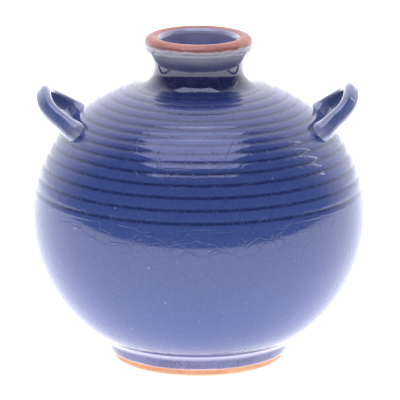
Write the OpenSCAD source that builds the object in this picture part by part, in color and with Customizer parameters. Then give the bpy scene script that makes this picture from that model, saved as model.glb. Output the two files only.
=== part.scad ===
// Small round flower vase of wheel-thrown stoneware with two ear handles.
// The clay body, neck, foot and handles are separate thrown or pulled pieces,
// luted together, and each carries its own coat of blue glaze.
// Millimetres. The origin is the middle of the foot, on the table; +Z is up,
// the handles point along +X and -X, and -Y is the front.

/* [Body] */
// Radius of the belly at its widest, over the glaze
belly_r = 50; // [45:0.5:62]
// Height of the widest point of the belly
belly_z = 43; // [38:0.5:52]
// Height at which the shoulder runs into the neck
shoulder_z = 82.7; // [78:0.1:104]
// Thickness of the clay wall of the body
body_wall = 4; // [3:0.1:5]
// Thickness of the clay floor inside the foot ring
floor_t = 4.2; // [3:0.1:6]

/* [Throwing grooves] */
// Distance along the shoulder from the widest point to the lowest groove
groove_start = 10; // [6:0.1:20]
// Distance along the shoulder from one groove to the next
groove_pitch = 3.35; // [2.8:0.05:6]
// Radius of the tip that cut each groove
groove_tip_r = 0.9; // [0.6:0.05:1.1]
// Least distance along the shoulder from the last groove to the neck's fillet
groove_margin = 1.7; // [1.2:0.1:6]
// Depth of each groove in the clay
groove_depth = 0.5; // [0.2:0.05:0.7]
// Depth of each groove that still shows over the glaze
groove_show = 0.35; // [0.1:0.05:0.5]

/* [Neck and lip] */
// Radius of the bore of the throat, inside the glaze
throat_r = 10; // [8:0.1:13]
// Thickness of the clay wall of the neck at its waist
neck_wall = 2.3; // [1.8:0.1:3.5]
// Radius of the fillet between the shoulder and the neck
fillet_r = 5.4; // [3:0.1:7]
// Share of that fillet's height that belongs to the neck's piece
neck_share = 0.8; // [0.6:0.05:0.85]
// Distance by which the lip flares out past the neck's waist
lip_flare = 2.9; // [2:0.1:4.5]
// Radius of the rounded bead that forms the lip
lip_bead_r = 2.7; // [2:0.1:3.2]
// Rise of the lip's crest above the height where the shoulder meets the neck
lip_rise = 14.9; // [13:0.1:18]
// Width of the bare clay band along the crest of the lip
lip_bare_w = 3.6; // [2:0.1:4.2]
// Inset of the bare band from the outer edge of the lip
lip_bare_inset = 0.6; // [0.3:0.05:0.8]
// Angle above level at which the mouth's funnel runs into the lip's bead
mouth_angle = 20; // [0:1:30]

/* [Foot] */
// Height of the foot ring's joint with the body
foot_h = 5.9; // [5:0.1:9]
// Outer radius of the foot ring where it stands
foot_r = 25.3; // [20:0.1:30]
// Distance by which the ring's top, over the glaze, is wider than its foot
foot_spread = 1.3; // [0.8:0.1:3]
// Width of the foot ring where it stands
foot_ring_w = 5.3; // [4:0.1:7]
// Height of the bare clay band along the bottom of the foot
foot_bare_h = 2.5; // [1:0.1:4]
// Radius of the rounded edges on which the foot stands
foot_edge_r = 0.9; // [0.4:0.1:1.2]
// Depth of the hollow inside the foot ring
foot_hollow_h = 3.6; // [2.6:0.1:3.8]

/* [Handles] */
// Height of each handle's feet above the widest point of the belly
handle_rise = 28.1; // [20:0.1:33]
// Distance between the middles of one handle's two feet
handle_span = 26; // [18:0.5:32]
// Reach of the handle's loop from its feet, along its tilted plane
handle_reach = 13.4; // [11:0.1:20]
// Tilt of the loop above the horizontal
handle_tilt = 46; // [35:1:65]
// Thickness of the pulled clay strap, whose edges are fully round
strap_t = 2.3; // [1.8:0.1:3.4]
// Width of the strap, across the plane of its loop
strap_w = 4.2; // [3:0.1:6]
// Radius of the foot that spreads where the strap is luted on
pad_r = 3.1; // [2.4:0.1:4]
// Height over which each foot spreads
pad_h = 4; // [2:0.1:5]

/* [Glaze] */
// Thickness of the glaze on the outside of the body, neck and foot
glaze_t = 0.6; // [0.3:0.05:0.8]
// Thickness of the glaze on the handles
handle_glaze_t = 0.4; // [0.2:0.05:0.6]
// Thickness of the glaze inside the vase
lining_t = 0.5; // [0.3:0.05:0.8]

/* [Hidden] */
$fn = 180;

clay = [0.80, 0.52, 0.38];
lip_clay = [0.72, 0.47, 0.43];
blue_glaze = [0.38, 0.44, 0.68];
pale_glaze = [0.58, 0.60, 0.68];
handle_blue = [0.45, 0.51, 0.68];
lining_blue = [0.36, 0.39, 0.54];

// How far a cutting shape runs past the surface it cuts
past = 1;

// Radius of the arc that leaves the belly upright and meets a point at
// distance inset nearer the axis and rise away from the belly's height
function belly_arc_r(inset, rise) = (inset * inset + rise * rise) / (2 * inset);

// Share of the neck fillet's radius by which the shoulder ends outside the waist
base_share = 0.8;

// Radius of the neck at its waist, over the glaze
waist_r = throat_r + lining_t + neck_wall + glaze_t;

// Radius at which the shoulder runs into the neck's fillet
neck_base_r = waist_r + base_share * fillet_r;
shoulder_arc_r = belly_arc_r(belly_r - neck_base_r, shoulder_z - belly_z);
shoulder_x = belly_r - shoulder_arc_r;

// Outer and inner radii of the foot ring
foot_top_r = foot_r + foot_spread;
foot_hollow_r = foot_r - foot_ring_w;
base_arc_r = belly_arc_r(belly_r - foot_top_r, belly_z - foot_h);
base_x = belly_r - base_arc_r;

// Centre of the fillet circle, which touches the shoulder and the waist
fillet_x = waist_r + fillet_r;
fillet_run = fillet_x - shoulder_x;
fillet_z = belly_z + sqrt(pow(shoulder_arc_r + fillet_r, 2) - fillet_run * fillet_run);

// Height of the flat seat between body and neck, a little way up the fillet
seat_z = fillet_z - neck_share * fillet_r;

// Centre of the lip's bead, and the flare circle that touches waist and bead
vase_h = shoulder_z + lip_rise;
lip_r = waist_r + lip_flare;
bead_x = lip_r - lip_bead_r;
bead_z = vase_h - lip_bead_r;
flare_gap = waist_r - bead_x;
flare_rise = bead_z - fillet_z;
flare_r = (flare_gap * flare_gap + flare_rise * flare_rise - lip_bead_r * lip_bead_r)
    / (2 * (lip_bead_r - flare_gap));
flare_x = waist_r + flare_r;

// The bare band, and the point on the bead where the mouth's funnel ends
bare_out_r = lip_r - lip_bare_inset;
bare_in_r = bare_out_r - lip_bare_w;
mouth_x = bead_x - lip_bead_r * cos(mouth_angle);
mouth_z = bead_z + lip_bead_r * sin(mouth_angle);

// The lining's air side: the body's arcs drawn in by its wall and both coats
lining_in = glaze_t + body_wall + lining_t;
base_z = foot_hollow_h;
floor_z = base_z + floor_t + lining_t;

// Throwing grooves along the shoulder, as angles from the belly's height
arc_degree = shoulder_arc_r * PI / 180;
groove_end = atan2(fillet_z - belly_z, fillet_run) * arc_degree - groove_margin;
groove_count = floor((groove_end - groove_start) / groove_pitch) + 1;
function groove_angle(i) = (groove_start + i * groove_pitch) / arc_degree;

// Place and circle of a handle's loop
handle_z = belly_z + handle_rise;
foot_circle_r = shoulder_x + sqrt(pow(shoulder_arc_r, 2) - pow(handle_rise, 2));
handle_x = sqrt(pow(foot_circle_r, 2) - pow(handle_span / 2, 2));
loop_r = belly_arc_r(handle_reach, handle_span / 2);
loop_x = handle_reach - loop_r;
loop_half_angle = acos(-loop_x / loop_r);
strap_edge_r = strap_t / 2;
strap_flat = strap_w - strap_t;

// ---------- half profiles, drawn with X as the radius and Y as the height ----

// Half disc of one of the belly's arcs, above (up) or below its widest height
module belly_half(arc_r, centre_x, up) {
    intersection() {
        translate([centre_x, belly_z]) circle(r = arc_r);
        translate([0, up ? belly_z : -vase_h]) square([2 * belly_r, vase_h + belly_z]);
    }
}

// Everything inside the vase's outer surface, drawn in by the depth
module outside_profile(depth) {
    belly_half(shoulder_arc_r - depth, shoulder_x, true);
    belly_half(base_arc_r - depth, base_x, false);
    difference() {
        polygon([
            [0, belly_z], [max(shoulder_x, 0), belly_z], [fillet_x, fillet_z],
            [flare_x, fillet_z], [bead_x, bead_z], [0, bead_z]
        ]);
        translate([fillet_x, fillet_z]) circle(r = fillet_r + depth);
        translate([flare_x, fillet_z]) circle(r = flare_r + depth);
    }
    translate([bead_x, bead_z]) circle(r = lip_bead_r - depth);
}

// The round tips that cut the grooves, at a surface drawn in by the depth
module groove_tips(depth, cut) {
    for (i = [0 : groove_count - 1])
        translate([shoulder_x, belly_z])
            rotate(groove_angle(i))
                translate([shoulder_arc_r - depth - cut + groove_tip_r, 0])
                    circle(r = groove_tip_r);
}

// The air inside the vase, grown by the extra thickness of its lining
module hollow_profile(extra) {
    difference() {
        union() {
            belly_half(shoulder_arc_r - lining_in + extra, shoulder_x, true);
            belly_half(base_arc_r - lining_in + extra, base_x, false);
            translate([0, belly_z]) square([throat_r + extra, fillet_z - belly_z]);
            polygon([
                [0, belly_z], [throat_r + extra, fillet_z],
                [mouth_x + extra, mouth_z], [0, mouth_z]
            ]);
        }
        translate([0, -vase_h]) square([belly_r, vase_h + floor_z - extra]);
    }
}

// Filled outline of the foot's outer wall, grown by the coat's thickness
module foot_profile(coat) {
    polygon([
        [0, 0], [foot_r - foot_edge_r, 0], [foot_r + coat, foot_edge_r],
        [foot_top_r - glaze_t + coat, foot_h], [foot_top_r - glaze_t + coat, belly_z], [0, belly_z]
    ]);
    translate([foot_r - foot_edge_r, foot_edge_r]) circle(r = foot_edge_r);
}

// A half profile's slice between two heights
module between(low, high) {
    intersection() {
        children();
        translate([0, low]) square([2 * belly_r, high - low]);
    }
}

// The body's clay surface with its grooves, filled to the axis
module clay_outside() {
    difference() {
        between(base_z, seat_z) outside_profile(glaze_t);
        groove_tips(glaze_t, groove_depth);
    }
}

// The bare clay crest of the lip
module bare_crest() {
    intersection() {
        translate([bead_x, bead_z]) circle(r = lip_bead_r);
        translate([bare_in_r, bead_z]) square([lip_bare_w, lip_bead_r]);
    }
}

module neck_clay() {
    difference() {
        between(seat_z, vase_h) outside_profile(glaze_t);
        hollow_profile(lining_t);
    }
    bare_crest();
}

// ---------- solids that several pieces are cut with --------------------------

module turned() {
    rotate_extrude() children();
}

// Section of the pulled strap: flat, with round edges, grown by the coat
module strap_section(coat) {
    for (edge = [-1, 1])
        translate([0, edge * strap_flat / 2]) circle(r = strap_edge_r + coat);
    translate([-strap_edge_r - coat, -strap_flat / 2])
        square([strap_t + 2 * coat, strap_flat]);
}

// One handle's loop with its spread feet, grown by the coat's thickness
module handle_form(side, coat) {
    mirror([side < 0 ? 1 : 0, 0, 0])
        translate([handle_x, 0, handle_z])
            rotate([0, -handle_tilt, 0]) {
                translate([loop_x, 0, 0])
                    rotate(-loop_half_angle)
                        rotate_extrude(angle = 2 * loop_half_angle)
                            translate([loop_r, 0]) strap_section(coat);
                for (foot = [-1, 1])
                    translate([0, foot * handle_span / 2, 0])
                        rotate([0, 90, 0]) {
                            cylinder(h = pad_h, r1 = pad_r + coat, r2 = strap_edge_r + coat);
                            translate([0, 0, -body_wall]) cylinder(h = body_wall, r = pad_r + coat);
                        }
            }
}

// Clay of one handle, its feet cut to sit on the grooved shoulder
module handle_clay(side) {
    difference() {
        handle_form(side, 0);
        turned() clay_outside();
    }
}

// Glaze of one handle, down to the clay of the shoulder
module handle_coat(side) {
    difference() {
        handle_form(side, handle_glaze_t);
        handle_form(side, 0);
        turned() clay_outside();
    }
}

// ---------- the pieces -------------------------------------------------------

// Thrown body: hollow belly with its grooved shoulder and flat floor
module body_shell() {
    color(clay)
        turned()
            difference() {
                clay_outside();
                hollow_profile(lining_t);
            }
}

// Thrown neck with its flared, rounded lip; the crest stays bare
module neck_collar() {
    color(lip_clay)
        turned() neck_clay();
}

// Turned foot ring, seated on the round underside of the body
module foot_ring() {
    color(clay)
        turned()
            difference() {
                foot_profile(0);
                clay_outside();
                translate([0, -past]) square([foot_hollow_r, belly_z + past]);
            }
}

// Pulled straps, one on each side
module left_handle() {
    color(clay) handle_clay(-1);
}

module right_handle() {
    color(clay) handle_clay(1);
}

// Outer glaze of the body, open where the handles and the foot are luted on
module body_glaze() {
    color(blue_glaze)
        difference() {
            turned()
                difference() {
                    between(base_z, seat_z) outside_profile(0);
                    groove_tips(0, groove_show);
                    clay_outside();
                    square([foot_top_r - glaze_t, belly_z]);
                }
            for (side = [-1, 1]) handle_form(side, handle_glaze_t);
        }
}

// Outer glaze of the neck, up to the bare crest of the lip
module neck_glaze() {
    color(pale_glaze)
        turned()
            difference() {
                between(seat_z, vase_h) outside_profile(0);
                outside_profile(glaze_t);
                translate([0, bead_z]) square([bare_out_r, lip_bead_r + past]);
            }
}

// Glaze band of the foot, above its bare clay edge
module foot_glaze() {
    color(blue_glaze)
        turned()
            difference() {
                between(foot_bare_h, belly_z) foot_profile(glaze_t);
                foot_profile(0);
                outside_profile(0);
            }
}

// Glaze lining of the belly, throat and mouth
module inner_glaze() {
    color(lining_blue)
        turned()
            difference() {
                union() {
                    hollow_profile(lining_t);
                    intersection() {
                        translate([bead_x, bead_z]) circle(r = lip_bead_r);
                        translate([0, bead_z]) square([bare_in_r, lip_bead_r]);
                    }
                }
                hollow_profile(0);
                neck_clay();
            }
}

module left_handle_glaze() {
    color(handle_blue) handle_coat(-1);
}

module right_handle_glaze() {
    color(handle_blue) handle_coat(1);
}

body_shell();
neck_collar();
foot_ring();
left_handle();
right_handle();
body_glaze();
neck_glaze();
foot_glaze();
inner_glaze();
left_handle_glaze();
right_handle_glaze();
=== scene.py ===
import math

import bpy
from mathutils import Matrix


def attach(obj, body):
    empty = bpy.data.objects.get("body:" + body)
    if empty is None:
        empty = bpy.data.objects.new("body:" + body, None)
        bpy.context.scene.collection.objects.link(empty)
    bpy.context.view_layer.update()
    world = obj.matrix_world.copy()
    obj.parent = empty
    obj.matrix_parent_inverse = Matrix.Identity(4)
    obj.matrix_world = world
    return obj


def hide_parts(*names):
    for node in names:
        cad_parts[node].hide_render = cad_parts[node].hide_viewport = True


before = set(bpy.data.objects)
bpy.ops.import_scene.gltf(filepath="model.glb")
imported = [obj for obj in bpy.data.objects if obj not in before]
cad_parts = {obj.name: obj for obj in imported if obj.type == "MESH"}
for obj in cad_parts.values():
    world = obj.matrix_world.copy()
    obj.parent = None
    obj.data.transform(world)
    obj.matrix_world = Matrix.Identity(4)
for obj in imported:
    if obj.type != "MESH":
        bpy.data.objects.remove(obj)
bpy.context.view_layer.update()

# ---- Body glaze --------------------------------------------------------------
# The glass coat over the thrown belly. The grooves are the marks of the
# thrower's finger tips, and the glaze has run thin on the ridges between them
# and pooled dark in the grooves. It cooled faster than the clay and crazed.
MM = 0.001
GLAZE_T = 0.6
BELLY_Z = 43.0
SHOULDER_X = 9.447
SHOULDER_R = 40.553
BASE_X = 8.89
BASE_R = 41.11
FILLET_X = 18.8
FILLET_Z = 87.991
FILLET_R = 5.4
SEAT_TURN = math.radians(233.13)
GROOVE_START = 10.0
GROOVE_PITCH = 3.35
GROOVES = 14
GROOVE_WANDER = 0.75
GROOVE_DEPTH = 0.06
GROOVE_HALF = 0.72
RIDGE_RISE = 0.03
FOOT_JOINT_R = 26.0
WHEEL_STEPS = 240


def on_arc(centre_x, centre_z, radius, turn):
    """A point of the vase's half profile, on an arc of that centre."""
    return centre_x + radius * math.cos(turn), centre_z + radius * math.sin(turn)


def groove_at(number):
    """Distance along the shoulder to a groove: the hand drifts a little off the even pitch."""
    drift = 0.2 + GROOVE_WANDER * math.sin(math.radians(30 * (number - 1)))
    return GROOVE_START + number * GROOVE_PITCH + drift


def groove_gap(along):
    """Distance along the shoulder to the nearest groove, and its number."""
    number = min(range(GROOVES), key=lambda n: abs(along - groove_at(n)))
    return along - groove_at(number), number


def throwing_mark(along):
    """How far the grooved surface stands out from the shoulder's arc."""
    gap, number = groove_gap(along)
    depth = GROOVE_DEPTH * (1 + 0.18 * math.sin(2.4 * number))
    share = min(abs(gap) / GROOVE_PITCH, 0.5)
    inside = groove_at(0) - GROOVE_PITCH / 2 < along < groove_at(GROOVES - 1)
    ridge = RIDGE_RISE * math.sin(math.pi * share) ** 2 if inside else 0
    return ridge - depth * math.exp(-((gap / GROOVE_HALF) ** 2))


def throw(name, outline):
    """A piece turned on the wheel: a closed outline drawn point by point, then spun."""
    bpy.ops.object.select_all(action="DESELECT")
    bpy.ops.mesh.primitive_plane_add(size=MM, location=(outline[0][0] * MM, 0, outline[0][1] * MM))
    piece = bpy.context.object
    piece.name = name
    piece.data.name = name
    bpy.ops.object.transform_apply(location=True, rotation=True, scale=True)
    bpy.ops.object.mode_set(mode="EDIT")
    bpy.ops.mesh.select_all(action="SELECT")
    bpy.ops.mesh.merge(type="CENTER")
    for (r0, z0), (r1, z1) in zip(outline, outline[1:]):
        step = ((r1 - r0) * MM, 0, (z1 - z0) * MM)
        bpy.ops.mesh.extrude_region_move(TRANSFORM_OT_translate={"value": step})
    bpy.ops.mesh.select_all(action="SELECT")
    bpy.ops.mesh.spin(steps=WHEEL_STEPS, angle=2 * math.pi, center=(0, 0, 0), axis=(0, 0, 1))
    bpy.ops.mesh.select_all(action="SELECT")
    bpy.ops.mesh.remove_doubles(threshold=0.002 * MM)
    bpy.ops.mesh.normals_make_consistent(inside=False)
    bpy.ops.object.mode_set(mode="OBJECT")
    bpy.ops.object.shade_smooth_by_angle(angle=math.radians(40))
    return piece


arc_end = math.atan2(FILLET_Z - BELLY_Z, FILLET_X - SHOULDER_X)
base_start = -math.acos((FOOT_JOINT_R - BASE_X) / BASE_R)

outer = []
for i in range(45):
    outer.append(on_arc(BASE_X, BELLY_Z, BASE_R, base_start * (1 - i / 45)))
marks = [0.0]
while marks[-1] < SHOULDER_R * arc_end - 0.5:
    marks.append(marks[-1] + (0.9 if marks[-1] < GROOVE_START - 3 else 0.26))
for along in marks:
    reach = SHOULDER_R + throwing_mark(along)
    outer.append(on_arc(SHOULDER_X, BELLY_Z, reach, along / SHOULDER_R))
for i in range(7):
    turn = math.pi + arc_end + (SEAT_TURN - math.pi - arc_end) * i / 6
    outer.append(on_arc(FILLET_X, FILLET_Z, FILLET_R, turn))
inner = []
for i in range(4):
    turn = SEAT_TURN + (math.pi + arc_end - SEAT_TURN) * i / 3
    inner.append(on_arc(FILLET_X, FILLET_Z, FILLET_R + GLAZE_T, turn))
for i in range(1, 25):
    inner.append(on_arc(SHOULDER_X, BELLY_Z, SHOULDER_R - GLAZE_T, arc_end * (1 - i / 24)))
for i in range(1, 19):
    inner.append(on_arc(BASE_X, BELLY_Z, BASE_R - GLAZE_T, base_start * i / 18))
body_coat = throw("body_glaze_coat", outer + inner + outer[:1])

# How much glaze has pooled at each point, for the colour
pooled = body_coat.data.attributes.new("pooled", "FLOAT", "POINT")
for number, vertex in enumerate(body_coat.data.vertices):
    radius = math.hypot(vertex.co.x, vertex.co.y) / MM
    along = SHOULDER_R * math.atan2(vertex.co.z / MM - BELLY_Z, radius - SHOULDER_X)
    gap = groove_gap(along)[0]
    inside = groove_at(0) - GROOVE_PITCH / 2 < along < groove_at(GROOVES - 1) + GROOVE_PITCH / 2
    share = min(abs(gap) / GROOVE_PITCH, 0.5)
    ridge = 0.5 - 0.5 * math.cos(2 * math.pi * share) if inside else 0
    neck_pool = 0.5 * min(max((along - 49) / 5, 0), 1)
    pooled.data[number].value = max(math.exp(-((gap / 0.62) ** 2)) - ridge, neck_pool)


def add_node(tree, kind, **sockets):
    """A shader node with some of its sockets set or linked."""
    made = tree.nodes.new(kind)
    for name, value in sockets.items():
        socket = made.inputs[name.replace("_", " ")]
        if isinstance(value, bpy.types.NodeSocket):
            tree.links.new(value, socket)
        else:
            socket.default_value = value
    return made


def sum_of(tree, how, first, second, third=None):
    """A Math node's result."""
    made = tree.nodes.new("ShaderNodeMath")
    made.operation = how
    for place, value in enumerate((first, second, third)):
        if isinstance(value, bpy.types.NodeSocket):
            tree.links.new(value, made.inputs[place])
        elif value is not None:
            made.inputs[place].default_value = value
    return made.outputs[0]


def fade(tree, value, low, high, at_low=0.0, at_high=1.0):
    """A smooth step of a value between two limits."""
    made = tree.nodes.new("ShaderNodeMapRange")
    made.interpolation_type = "SMOOTHSTEP"
    tree.links.new(value, made.inputs["Value"])
    made.inputs["From Min"].default_value = low
    made.inputs["From Max"].default_value = high
    made.inputs["To Min"].default_value = at_low
    made.inputs["To Max"].default_value = at_high
    return made.outputs["Result"]


def blend_colours(tree, share, first, second, how="MIX"):
    """Two colours laid over each other."""
    made = tree.nodes.new("ShaderNodeMix")
    made.data_type = "RGBA"
    made.blend_type = how
    for place, value in ((0, share), (6, first), (7, second)):
        if isinstance(value, bpy.types.NodeSocket):
            tree.links.new(value, made.inputs[place])
        else:
            made.inputs[place].default_value = value
    return made.outputs[2]


def new_finish(name):
    """An empty material with its surface shader and object coordinates."""
    finish = bpy.data.materials.new(name)
    finish.use_nodes = True
    tree = finish.node_tree
    shader = tree.nodes["Principled BSDF"]
    place = tree.nodes.new("ShaderNodeTexCoord").outputs["Object"]
    return finish, tree, shader, place


def speckle(tree, place, scale, detail=4.0, rough=0.55):
    """Soft noise of that scale, per metre."""
    made = add_node(tree, "ShaderNodeTexNoise", Vector=place, Scale=scale, Detail=detail, Roughness=rough)
    return made.outputs["Fac"]


def crazing(tree, place):
    """The crackle's lines: 1 on a crack, 0 between, from two sizes of cell."""
    wander = add_node(tree, "ShaderNodeTexNoise", Vector=place, Scale=160.0, Detail=2.0)
    pull = tree.nodes.new("ShaderNodeVectorMath")
    pull.operation = "MULTIPLY_ADD"
    tree.links.new(wander.outputs["Color"], pull.inputs[0])
    pull.inputs[1].default_value = (0.0022, 0.0022, 0.0022)
    tree.links.new(place, pull.inputs[2])
    lines = []
    for scale, width in ((150.0, 0.009), (320.0, 0.012)):
        cells = tree.nodes.new("ShaderNodeTexVoronoi")
        cells.feature = "DISTANCE_TO_EDGE"
        tree.links.new(pull.outputs[0], cells.inputs["Vector"])
        cells.inputs["Scale"].default_value = scale
        lines.append(fade(tree, cells.outputs["Distance"], width, width * 4, 1.0, 0.0))
    patches = fade(tree, speckle(tree, place, 75.0, 1.0), 0.47, 0.56)
    fine = sum_of(tree, "MULTIPLY", lines[1], patches)
    return sum_of(tree, "MAXIMUM", lines[0], sum_of(tree, "MULTIPLY", fine, 0.7))


def pinholes(tree, place, scale, share):
    """Tiny burst bubbles, in a small share of the cells of that scale."""
    cells = tree.nodes.new("ShaderNodeTexVoronoi")
    tree.links.new(place, cells.inputs["Vector"])
    cells.inputs["Scale"].default_value = scale
    near = fade(tree, cells.outputs["Distance"], 0.05, 0.13, 1.0, 0.0)
    pick = add_node(tree, "ShaderNodeSeparateColor", Color=cells.outputs["Color"]).outputs[0]
    few = sum_of(tree, "GREATER_THAN", pick, 1 - share)
    return sum_of(tree, "MULTIPLY", near, few)


def raise_relief(tree, shader, height, deep):
    """Fine relief of a surface, deep in millimetres."""
    bump = add_node(tree, "ShaderNodeBump", Height=height, Distance=deep * MM, Strength=1.0)
    tree.links.new(bump.outputs["Normal"], shader.inputs["Normal"])


body_blue = (0.040, 0.064, 0.190, 1)
ridge_blue = (0.048, 0.074, 0.208, 1)
pool_blue = (0.004, 0.009, 0.050, 1)

blue_glaze, tree, shader, place = new_finish("blue_crackle_glaze")
pool = add_node(tree, "ShaderNodeAttribute")
pool.attribute_name = "pooled"
cloud = speckle(tree, place, 45.0)
grain = speckle(tree, place, 1400.0, 2.0)
cracks = crazing(tree, place)
paleness = fade(tree, sum_of(tree, "MULTIPLY", pool.outputs["Fac"], -1.0), 0.0, 1.0)
patchy = fade(tree, cloud, 0.3, 0.7, 0.8, 1.0)
deep = sum_of(tree, "MULTIPLY", fade(tree, pool.outputs["Fac"], -0.2, 0.95), patchy)
colour = blend_colours(tree, paleness, body_blue, ridge_blue)
colour = blend_colours(tree, deep, colour, pool_blue)
colour = blend_colours(tree, fade(tree, cloud, 0.3, 0.7, 0.0, 0.25), colour, (0.031, 0.052, 0.165, 1))
colour = blend_colours(tree, fade(tree, grain, 0.4, 0.75, 0.0, 0.22), colour, (0.075, 0.105, 0.255, 1))
colour = blend_colours(tree, sum_of(tree, "MULTIPLY", cracks, 0.22), colour, (0.020, 0.033, 0.120, 1))
for scale, share in ((420.0, 0.05), (650.0, 0.09)):
    holes = pinholes(tree, place, scale, share)
    colour = blend_colours(tree, sum_of(tree, "MULTIPLY", holes, 0.30), colour, (0.60, 0.66, 0.85, 1))
tree.links.new(colour, shader.inputs["Base Color"])
rough = sum_of(tree, "MULTIPLY_ADD", cloud, 0.04, 0.04)
rough = sum_of(tree, "MULTIPLY_ADD", cracks, 0.12, rough)
rough = sum_of(tree, "MULTIPLY_ADD", deep, 0.14, rough)
tree.links.new(rough, shader.inputs["Roughness"])
shader.inputs["IOR"].default_value = 1.5
rings = tree.nodes.new("ShaderNodeMapping")
rings.inputs["Scale"].default_value = (12, 12, 700)
tree.links.new(place, rings.inputs["Vector"])
lines = speckle(tree, rings.outputs["Vector"], 1.0, 3.0)
peel = speckle(tree, place, 300.0, 2.0)
relief = sum_of(tree, "MULTIPLY_ADD", lines, 0.35, sum_of(tree, "MULTIPLY", peel, 0.35))
relief = sum_of(tree, "MULTIPLY_ADD", cracks, -0.5, relief)
raise_relief(tree, shader, relief, 0.035)
body_coat.data.materials.append(blue_glaze)
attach(body_coat, "root")
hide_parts("body_glaze")

# ---- Neck glaze --------------------------------------------------------------
# The coat of the thrown neck. It drains off the flared lip, so it is thin and
# pale grey there, and gathers to the full blue at the foot of the neck.
WAIST_R = 13.4
LIP_BEAD_R = 2.7
BEAD_X = 13.6
BEAD_Z = 94.9
FLARE_R = 6.979
BARE_OUT_R = 15.7

neck_outer = []
for i in range(13):
    turn = SEAT_TURN + (math.pi - SEAT_TURN) * i / 12
    neck_outer.append(on_arc(FILLET_X, FILLET_Z, FILLET_R, turn))
flare_x = WAIST_R + FLARE_R
flare_turn = math.atan2(BEAD_Z - FILLET_Z, BEAD_X - flare_x)
for i in range(1, 17):
    turn = math.pi + (flare_turn - math.pi) * i / 16
    neck_outer.append(on_arc(flare_x, FILLET_Z, FLARE_R, turn))
bead_from = math.atan2(FILLET_Z - BEAD_Z, flare_x - BEAD_X)
bead_to = math.acos((BARE_OUT_R - BEAD_X) / LIP_BEAD_R)
for i in range(1, 19):
    neck_outer.append(on_arc(BEAD_X, BEAD_Z, LIP_BEAD_R, bead_from + (bead_to - bead_from) * i / 18))
neck_inner = []
for i in range(12):
    turn = bead_to + (bead_from - bead_to) * i / 11
    neck_inner.append(on_arc(BEAD_X, BEAD_Z, LIP_BEAD_R - GLAZE_T, turn))
for i in range(1, 12):
    turn = flare_turn + (math.pi - flare_turn) * i / 11
    neck_inner.append(on_arc(flare_x, FILLET_Z, FLARE_R + GLAZE_T, turn))
for i in range(1, 8):
    turn = math.pi + (SEAT_TURN - math.pi) * i / 7
    neck_inner.append(on_arc(FILLET_X, FILLET_Z, FILLET_R + GLAZE_T, turn))
neck_coat = throw("neck_glaze_coat", neck_outer + neck_inner + neck_outer[:1])

neck_glaze, tree, shader, place = new_finish("pale_neck_glaze")
height = add_node(tree, "ShaderNodeSeparateXYZ", Vector=place).outputs["Z"]
cloud = speckle(tree, place, 60.0, 2.0)
drip = sum_of(tree, "MULTIPLY_ADD", cloud, 0.002, height)
foot_blue = (0.013, 0.017, 0.080, 1)
waist_grey = (0.052, 0.064, 0.125, 1)
colour = blend_colours(tree, fade(tree, drip, 0.0893, 0.0913), foot_blue, waist_grey)
colour = blend_colours(tree, fade(tree, drip, 0.0913, 0.0950), colour, (0.20, 0.20, 0.235, 1))
edge = sum_of(tree, "MULTIPLY_ADD", speckle(tree, place, 420.0, 3.0), -0.0011, height)
colour = blend_colours(tree, fade(tree, edge, 0.0943, 0.0949), colour, (0.42, 0.38, 0.38, 1))
colour = blend_colours(tree, fade(tree, edge, 0.0951, 0.0955), colour, (0.27, 0.105, 0.075, 1))
grain = speckle(tree, place, 1400.0, 2.0)
colour = blend_colours(tree, fade(tree, grain, 0.4, 0.7, 0.0, 0.05), colour, (0.40, 0.41, 0.47, 1))
cracks = crazing(tree, place)
colour = blend_colours(tree, sum_of(tree, "MULTIPLY", cracks, 0.2), colour, (0.10, 0.11, 0.2, 1))
tree.links.new(colour, shader.inputs["Base Color"])
tree.links.new(sum_of(tree, "MULTIPLY_ADD", cloud, 0.06, 0.05), shader.inputs["Roughness"])
shader.inputs["IOR"].default_value = 1.52
peel = speckle(tree, place, 330.0, 2.0)
relief = sum_of(tree, "MULTIPLY_ADD", cracks, -0.2, sum_of(tree, "MULTIPLY", peel, 0.4))
raise_relief(tree, shader, relief, 0.016)
neck_coat.data.materials.append(neck_glaze)
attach(neck_coat, "root")
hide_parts("neck_glaze")

# ---- Lip ---------------------------------------------------------------------
# The neck's clay shows only along the crest of the lip, wiped bare before the
# firing and burnt reddish brown, a little glossy from the glaze beside it.
lip_clay, tree, shader, place = new_finish("bare_lip_clay")
cloud = speckle(tree, place, 160.0)
grain = speckle(tree, place, 1100.0, 6.0, 0.7)
dark_brown = (0.33, 0.095, 0.058, 1)
red_brown = (0.46, 0.155, 0.100, 1)
colour = blend_colours(tree, fade(tree, cloud, 0.3, 0.7), dark_brown, red_brown)
colour = blend_colours(tree, fade(tree, grain, 0.4, 0.65, 0.0, 0.3), colour, (0.16, 0.055, 0.04, 1))
tree.links.new(colour, shader.inputs["Base Color"])
tree.links.new(sum_of(tree, "MULTIPLY_ADD", grain, 0.3, 0.3), shader.inputs["Roughness"])
raise_relief(tree, shader, grain, 0.05)
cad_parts["neck_collar"].data.materials.clear()
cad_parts["neck_collar"].data.materials.append(lip_clay)

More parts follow.
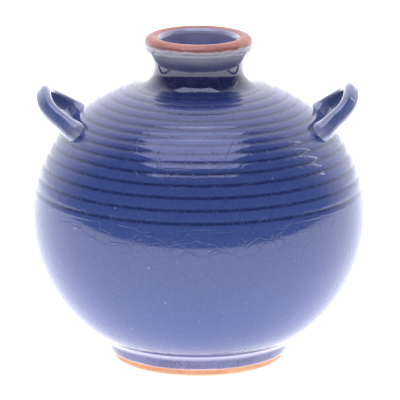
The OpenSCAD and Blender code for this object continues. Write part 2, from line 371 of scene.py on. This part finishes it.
# ---- Lining ------------------------------------------------------------------
# The inside is lined with the same glass coat, poured in and out again, which
# keeps the water in. Only its top edge shows, in the mouth.
lining, tree, shader, place = new_finish("lining_glaze")
cloud = speckle(tree, place, 120.0)
colour = blend_colours(tree, fade(tree, cloud, 0.3, 0.7), (0.20, 0.22, 0.40, 1), (0.29, 0.31, 0.48, 1))
height = add_node(tree, "ShaderNodeSeparateXYZ", Vector=place).outputs["Z"]
colour = blend_colours(tree, fade(tree, height, 0.0925, 0.0965), colour, (0.33, 0.33, 0.42, 1))
tree.links.new(colour, shader.inputs["Base Color"])
tree.links.new(sum_of(tree, "MULTIPLY_ADD", cloud, 0.06, 0.05), shader.inputs["Roughness"])
shader.inputs["IOR"].default_value = 1.52
raise_relief(tree, shader, speckle(tree, place, 300.0, 2.0), 0.03)
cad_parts["inner_glaze"].data.materials.clear()
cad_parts["inner_glaze"].data.materials.append(lining)

# ---- Foot ring and its clay --------------------------------------------------
# The foot is a ring of the belly's own clay, turned on the wheel when leather
# hard. Its bottom edge is wiped bare before the firing, and burns orange.
foot_clay, tree, shader, place = new_finish("bare_stoneware")
cloud = speckle(tree, place, 120.0)
grain = speckle(tree, place, 900.0, 6.0, 0.7)
height = add_node(tree, "ShaderNodeSeparateXYZ", Vector=place).outputs["Z"]
colour = blend_colours(tree, fade(tree, cloud, 0.3, 0.7), (0.62, 0.27, 0.13, 1), (0.74, 0.40, 0.22, 1))
colour = blend_colours(tree, fade(tree, grain, 0.4, 0.65, 0.0, 0.3), colour, (0.45, 0.18, 0.09, 1))
colour = blend_colours(tree, fade(tree, height, 0.0013, 0.0003), colour, (0.78, 0.60, 0.46, 1))
tree.links.new(colour, shader.inputs["Base Color"])
tree.links.new(sum_of(tree, "MULTIPLY_ADD", grain, 0.2, 0.6), shader.inputs["Roughness"])
raise_relief(tree, shader, grain, 0.08)
for name in ("foot_ring", "body_shell"):
    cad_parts[name].data.materials.clear()
    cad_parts[name].data.materials.append(foot_clay)

# ---- Foot glaze --------------------------------------------------------------
# The band of glaze round the upper part of the foot. It ends in a rolled bead
# where the foot was sponged clean, and in a thin rounded edge under the belly.
FOOT_COAT = (
    (25.9, 5.85), (27.3, 6.32), (28.6, 7.0), (29.3, 7.34), (28.75, 6.82), (28.3, 6.35), (27.95, 5.85),
    (27.7, 5.3), (27.5, 4.7), (27.3, 4.1), (27.1, 3.55), (26.9, 3.1), (26.65, 2.75), (26.3, 2.52),
    (25.95, 2.46), (25.7, 2.55), (25.57, 2.72), (25.68, 3.5), (25.8, 4.6), (25.88, 5.4)
)
foot_coat = throw("foot_glaze_coat", FOOT_COAT + FOOT_COAT[:1])

foot_glaze, tree, shader, place = new_finish("foot_band_glaze")
height = add_node(tree, "ShaderNodeSeparateXYZ", Vector=place).outputs["Z"]
cloud = speckle(tree, place, 140.0)
grain = speckle(tree, place, 1400.0, 2.0)
edge = sum_of(tree, "MULTIPLY_ADD", cloud, -0.0009, height)
colour = blend_colours(tree, fade(tree, cloud, 0.3, 0.7), (0.065, 0.072, 0.19, 1), (0.10, 0.11, 0.25, 1))
# Paler towards the top edge under the belly: the glaze runs thin over it, and a highlight is painted in there
# as well.
colour = blend_colours(tree, fade(tree, edge, 0.0048, 0.0062, 0.0, 0.6), colour, (0.45, 0.45, 0.58, 1))
colour = blend_colours(tree, fade(tree, edge, 0.0026, 0.0022), colour, (0.50, 0.38, 0.38, 1))
colour = blend_colours(tree, fade(tree, grain, 0.4, 0.75, 0.0, 0.2), colour, (0.40, 0.38, 0.48, 1))
tree.links.new(colour, shader.inputs["Base Color"])
tree.links.new(sum_of(tree, "MULTIPLY_ADD", cloud, 0.08, 0.06), shader.inputs["Roughness"])
shader.inputs["IOR"].default_value = 1.6
raise_relief(tree, shader, cloud, 0.10)
foot_coat.data.materials.append(foot_glaze)
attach(foot_coat, "root")
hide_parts("foot_glaze")

# ---- Handle glaze ------------------------------------------------------------
# The two handles are straps of pulled clay, each bent to a loop, pressed on the
# shoulder and smeared out at its feet. Their glaze is pale along the rims and at
# the feet, partly thin glaze and partly a painted highlight, and bluer down the
# middle of the strap. A clay core lies inside each coat.
LOOP_R = 13.006
LOOP_X = 0.394
STRAP_X = LOOP_X + LOOP_R
STRAP_EDGE_R = 1.8
STRAP_SHIFT = 0.7
STRAP_TURN = 88.5
STRAP_STEPS = 60
THUMB_GROOVE = 0.06
LEG_BOW = -0.9
FOOT_X = 35.9
FOOT_Z = 71.1


def turn_piece(angle, axis, centre):
    """Turns what is selected by degrees, counter-clockwise about the axis."""
    bpy.ops.transform.rotate(value=-math.radians(angle), orient_axis=axis, center_override=centre)


def pick(piece, test):
    """Selects the vertices that pass the test, and gives back their middle."""
    bpy.ops.object.mode_set(mode="OBJECT")
    found = []
    for vertex in piece.data.vertices:
        vertex.select = test(vertex.co)
        if vertex.select:
            found.append(vertex.co.copy())
    for part in list(piece.data.edges) + list(piece.data.polygons):
        part.select = all(piece.data.vertices[v].select for v in part.vertices)
    bpy.ops.object.mode_set(mode="EDIT")
    return tuple(sum(co[i] for co in found) / len(found) for i in range(3))


def loop_turn(co):
    """A point's angle round the flat loop, from its tip, in degrees."""
    return math.degrees(math.atan2(co.y, co.x - LOOP_X * MM))


bpy.ops.object.select_all(action="DESELECT")
bpy.ops.mesh.primitive_circle_add(vertices=26, radius=STRAP_EDGE_R * MM, fill_type="NOTHING",
                                  location=(STRAP_X * MM, 0, 0), rotation=(math.pi / 2, 0, 0))
strap = bpy.context.object
strap.name = "right_handle_glaze_coat"
strap.data.name = strap.name
bpy.ops.object.transform_apply(location=True, rotation=True, scale=True)
bpy.ops.object.mode_set(mode="EDIT")
for side in (-1, 1):
    pick(strap, lambda co: co.z * side > 0)
    bpy.ops.transform.translate(value=(0, 0, side * STRAP_SHIFT * MM))
for side in (-1, 1):
    pick(strap, lambda co: abs(co.z) < (STRAP_SHIFT + 0.3) * MM and (co.x / MM - STRAP_X) * side > 0)
    bpy.ops.mesh.subdivide(number_cuts=3)
pick(strap, lambda co: abs(co.z) < STRAP_SHIFT * MM and co.x > STRAP_X * MM)
bpy.ops.transform.translate(value=(-THUMB_GROOVE / 2 * MM, 0, 0))
pick(strap, lambda co: abs(co.z) < 0.2 * MM and co.x > STRAP_X * MM)
bpy.ops.transform.translate(value=(-THUMB_GROOVE / 2 * MM, 0, 0))
bpy.ops.mesh.select_all(action="SELECT")
turn_piece(-STRAP_TURN, "Z", (LOOP_X * MM, 0, 0))
bpy.ops.mesh.spin(steps=STRAP_STEPS, angle=-math.radians(2 * STRAP_TURN), center=(LOOP_X * MM, 0, 0),
                  axis=(0, 0, 1))
step_turn = 2 * STRAP_TURN / STRAP_STEPS
FOOT_SPREAD = ((2.3, 1.32), (1.98, 1.24), (1.72, 1.17), (1.5, 1.11), (1.32, 1.07), (1.18, 1.04), (1.08, 1.01))
for side in (-1, 1):
    for number, (thick, wide) in enumerate(FOOT_SPREAD):
        turn = STRAP_TURN - number * step_turn
        middle = pick(strap, lambda co: abs(loop_turn(co) * side - turn) < step_turn / 2)
        bpy.ops.transform.resize(value=(1, thick, wide), center_override=middle)
    for number in range(1, STRAP_STEPS // 2):
        turn = STRAP_TURN - number * step_turn
        pick(strap, lambda co: abs(loop_turn(co) * side - turn) < step_turn / 2)
        rise = LEG_BOW * math.sin(math.pi * number * 2 / STRAP_STEPS) ** 2
        bpy.ops.transform.translate(value=(0, 0, rise * MM))
bpy.ops.mesh.select_all(action="SELECT")
bpy.ops.mesh.normals_make_consistent(inside=False)
bpy.ops.object.mode_set(mode="OBJECT")
# Where the glaze is drawn paler: the rims and the feet, for thin glaze there and partly a painted highlight.
rims = strap.data.attributes.new("rim", "FLOAT", "POINT")
for number, vertex in enumerate(strap.data.vertices):
    at_foot = max(0.0, (abs(loop_turn(vertex.co)) - 62) / 26)
    half = (STRAP_EDGE_R + STRAP_SHIFT) * MM
    rims.data[number].value = max(min(1.0, abs(vertex.co.z) / half), at_foot ** 1.5)
bpy.ops.object.duplicate()
other_strap = bpy.context.object
other_strap.name = "left_handle_glaze_coat"
other_strap.data.name = other_strap.name

handle_glaze, tree, shader, place = new_finish("handle_glaze")
rim = add_node(tree, "ShaderNodeAttribute")
rim.attribute_name = "rim"
cloud = speckle(tree, place, 150.0)
grain = speckle(tree, place, 1400.0, 2.0)
# Paler on the rims and at the feet: the glaze runs thinner there, and a highlight is painted in as well.
paleness = sum_of(tree, "MULTIPLY_ADD", cloud, 0.35, rim.outputs["Fac"])
colour = blend_colours(tree, fade(tree, paleness, 0.25, 0.95), (0.060, 0.090, 0.205, 1), (0.125, 0.145, 0.240, 1))
colour = blend_colours(tree, fade(tree, paleness, 0.95, 1.25), colour, (0.26, 0.28, 0.37, 1))
colour = blend_colours(tree, fade(tree, grain, 0.4, 0.75, 0.0, 0.2), colour, (0.28, 0.31, 0.44, 1))
tree.links.new(colour, shader.inputs["Base Color"])
tree.links.new(sum_of(tree, "MULTIPLY_ADD", cloud, 0.06, 0.05), shader.inputs["Roughness"])
shader.inputs["IOR"].default_value = 1.6
raise_relief(tree, shader, speckle(tree, place, 260.0, 2.0), 0.05)

RIGHT_TILT = 46.5
LEFT_TILT = 42.0
CORE_DEPTH = 0.36
COAT_T = 0.35
handles = ((strap, 0, RIGHT_TILT, "right_handle"), (other_strap, 180, LEFT_TILT, "left_handle"))
for coat, half_turn, tilt, core in handles:
    bpy.ops.object.select_all(action="DESELECT")
    coat.select_set(True)
    bpy.context.view_layer.objects.active = coat
    bpy.ops.object.mode_set(mode="EDIT")
    bpy.ops.mesh.select_all(action="SELECT")
    turn_piece(-tilt, "Y", (0, 0, 0))
    bpy.ops.transform.translate(value=(FOOT_X * MM, 0, FOOT_Z * MM))
    turn_piece(half_turn, "Z", (0, 0, 0))
    bpy.ops.object.mode_set(mode="OBJECT")
    pressed = coat.vertex_groups.new(name="pressed")
    uses = {}
    for face in coat.data.polygons:
        for key in face.edge_keys:
            uses[key] = uses.get(key, 0) + 1
    open_edge = {v for key, count in uses.items() if count == 1 for v in key}
    pressed.add(sorted(open_edge), 1.0, "REPLACE")
    press = coat.modifiers.new("press_on_shoulder", "SHRINKWRAP")
    press.target = body_coat
    press.vertex_group = "pressed"
    press.offset = 0
    bpy.ops.object.modifier_apply(modifier=press.name)
    for vertex in coat.data.vertices:
        vertex.select = vertex.index in open_edge
    for edge in coat.data.edges:
        edge.select = all(v in open_edge for v in edge.vertices)
    for face in coat.data.polygons:
        face.select = False
    bpy.ops.object.mode_set(mode="EDIT")
    bpy.ops.mesh.select_mode(type="EDGE")
    sink = math.radians(tilt)
    away = -1 if half_turn else 1
    bpy.ops.mesh.extrude_region_move(TRANSFORM_OT_translate={
        "value": (-0.5 * away * math.cos(sink) * MM, 0, -0.5 * math.sin(sink) * MM)})
    bpy.ops.mesh.select_mode(type="VERT")
    bpy.ops.object.mode_set(mode="OBJECT")
    round_off = coat.modifiers.new("round_off", "SUBSURF")
    round_off.levels = 1
    round_off.render_levels = 1
    bpy.ops.object.modifier_apply(modifier=round_off.name)
    bpy.ops.object.duplicate()
    clay = bpy.context.object
    clay.name = core + "_clay"
    clay.data.name = clay.name
    clay.data.materials.append(foot_clay)
    bpy.ops.object.mode_set(mode="EDIT")
    bpy.ops.mesh.select_all(action="SELECT")
    bpy.ops.transform.shrink_fatten(value=-CORE_DEPTH * MM)
    bpy.ops.mesh.select_all(action="DESELECT")
    bpy.ops.mesh.select_non_manifold()
    bpy.ops.mesh.edge_face_add()
    bpy.ops.object.mode_set(mode="OBJECT")
    bpy.ops.object.shade_smooth_by_angle(angle=math.radians(60))
    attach(clay, "root")
    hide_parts(core)
    bpy.ops.object.select_all(action="DESELECT")
    coat.select_set(True)
    bpy.context.view_layer.objects.active = coat
    wall = coat.modifiers.new("glaze_wall", "SOLIDIFY")
    wall.thickness = COAT_T * MM
    wall.offset = -1
    bpy.ops.object.modifier_apply(modifier=wall.name)
    bpy.ops.object.shade_smooth_by_angle(angle=math.radians(60))
    coat.data.materials.append(handle_glaze)
    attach(coat, "root")
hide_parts("right_handle_glaze")
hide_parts("left_handle_glaze")

# ---- Stage -------------------------------------------------------------------
# A white table with its front edge 0.45 m before the vase, lit by one broad
# softbox overhead, a narrow strip at the side and the pale room behind.
bpy.ops.object.select_all(action="DESELECT")
bpy.ops.mesh.primitive_plane_add(size=14, location=(0, 6.55, 0))
bpy.ops.object.transform_apply(location=True, rotation=True, scale=True)
floor = bpy.context.object
floor.name = "studio_table"
paper, tree, shader, place = new_finish("white_table")
depth = add_node(tree, "ShaderNodeSeparateXYZ", Vector=place).outputs["Y"]
lit = fade(tree, depth, -0.62, -0.28)
colour = blend_colours(tree, lit, (0.06, 0.06, 0.07, 1), (0.92, 0.92, 0.92, 1))
tree.links.new(colour, shader.inputs["Base Color"])
tree.links.new(sum_of(tree, "MULTIPLY", lit, 1.7), shader.inputs["Emission Strength"])
shader.inputs["Roughness"].default_value = 0.9
shader.inputs["Emission Color"].default_value = (0.98, 0.98, 1, 1)
floor.data.materials.append(paper)

world = bpy.data.worlds.new("studio")
bpy.context.scene.world = world
world.use_nodes = True
sky = world.node_tree
background = sky.nodes["Background"]
look = sky.nodes.new("ShaderNodeTexCoord").outputs["Generated"]
axes = add_node(sky, "ShaderNodeSeparateXYZ", Vector=look)
across = sum_of(sky, "POWER", axes.outputs["X"], 2.0)
along = sum_of(sky, "POWER", axes.outputs["Y"], 2.0)
flat = sum_of(sky, "SQRT", sum_of(sky, "ADD", across, along), None)
toward = sum_of(sky, "MULTIPLY", axes.outputs["Y"], -1.0)
ahead = sum_of(sky, "DIVIDE", toward, sum_of(sky, "ADD", flat, 0.0001))
front = fade(sky, ahead, -0.80, 0.05)
light = blend_colours(sky, front, (2.1, 2.1, 2.18, 1), (0.07, 0.075, 0.09, 1))
seen = sky.nodes.new("ShaderNodeLightPath").outputs["Is Camera Ray"]
light = blend_colours(sky, seen, light, (1, 1, 1, 1))
sky.links.new(light, background.inputs["Color"])

softbox = bpy.data.lights.new("overhead_softbox", "AREA")
softbox.shape = "RECTANGLE"
softbox.size = 1.05
softbox.size_y = 0.70
softbox.energy = 8.0
softbox.color = (0.97, 1, 1.4)
lamp = bpy.data.objects.new("overhead_softbox", softbox)
lamp.location = (-0.07, -0.25, 1.1)
bpy.context.collection.objects.link(lamp)

strip = bpy.data.lights.new("side_strip", "AREA")
strip.shape = "RECTANGLE"
strip.size = 0.04
strip.size_y = 0.45
strip.energy = 0.35
lamp = bpy.data.objects.new("side_strip", strip)
lamp.location = (0.92, 0.36, 0.68)
lamp.rotation_euler = (math.radians(60), 0, math.radians(111))
bpy.context.collection.objects.link(lamp)

# ---- Camera ------------------------------------------------------------------
# A long lens 1.3 m away, looking a little down on the vase, so that the far
# side of the mouth shows over the near one.
LENS_AWAY = 1.3
AIM_Z = 0.04746
lens = bpy.data.cameras.new("camera")
lens.lens = 393.5
lens.sensor_width = 36
lens.shift_x = 0.0035
camera = bpy.data.objects.new("camera", lens)
rise = math.radians(14.36)
camera.location = (0, -LENS_AWAY * math.cos(rise), AIM_Z + LENS_AWAY * math.sin(rise))
camera.rotation_euler = (math.pi / 2 - rise, 0, 0)
bpy.context.collection.objects.link(camera)
bpy.context.scene.camera = camera
bpy.context.scene.view_settings.view_transform = "Standard"
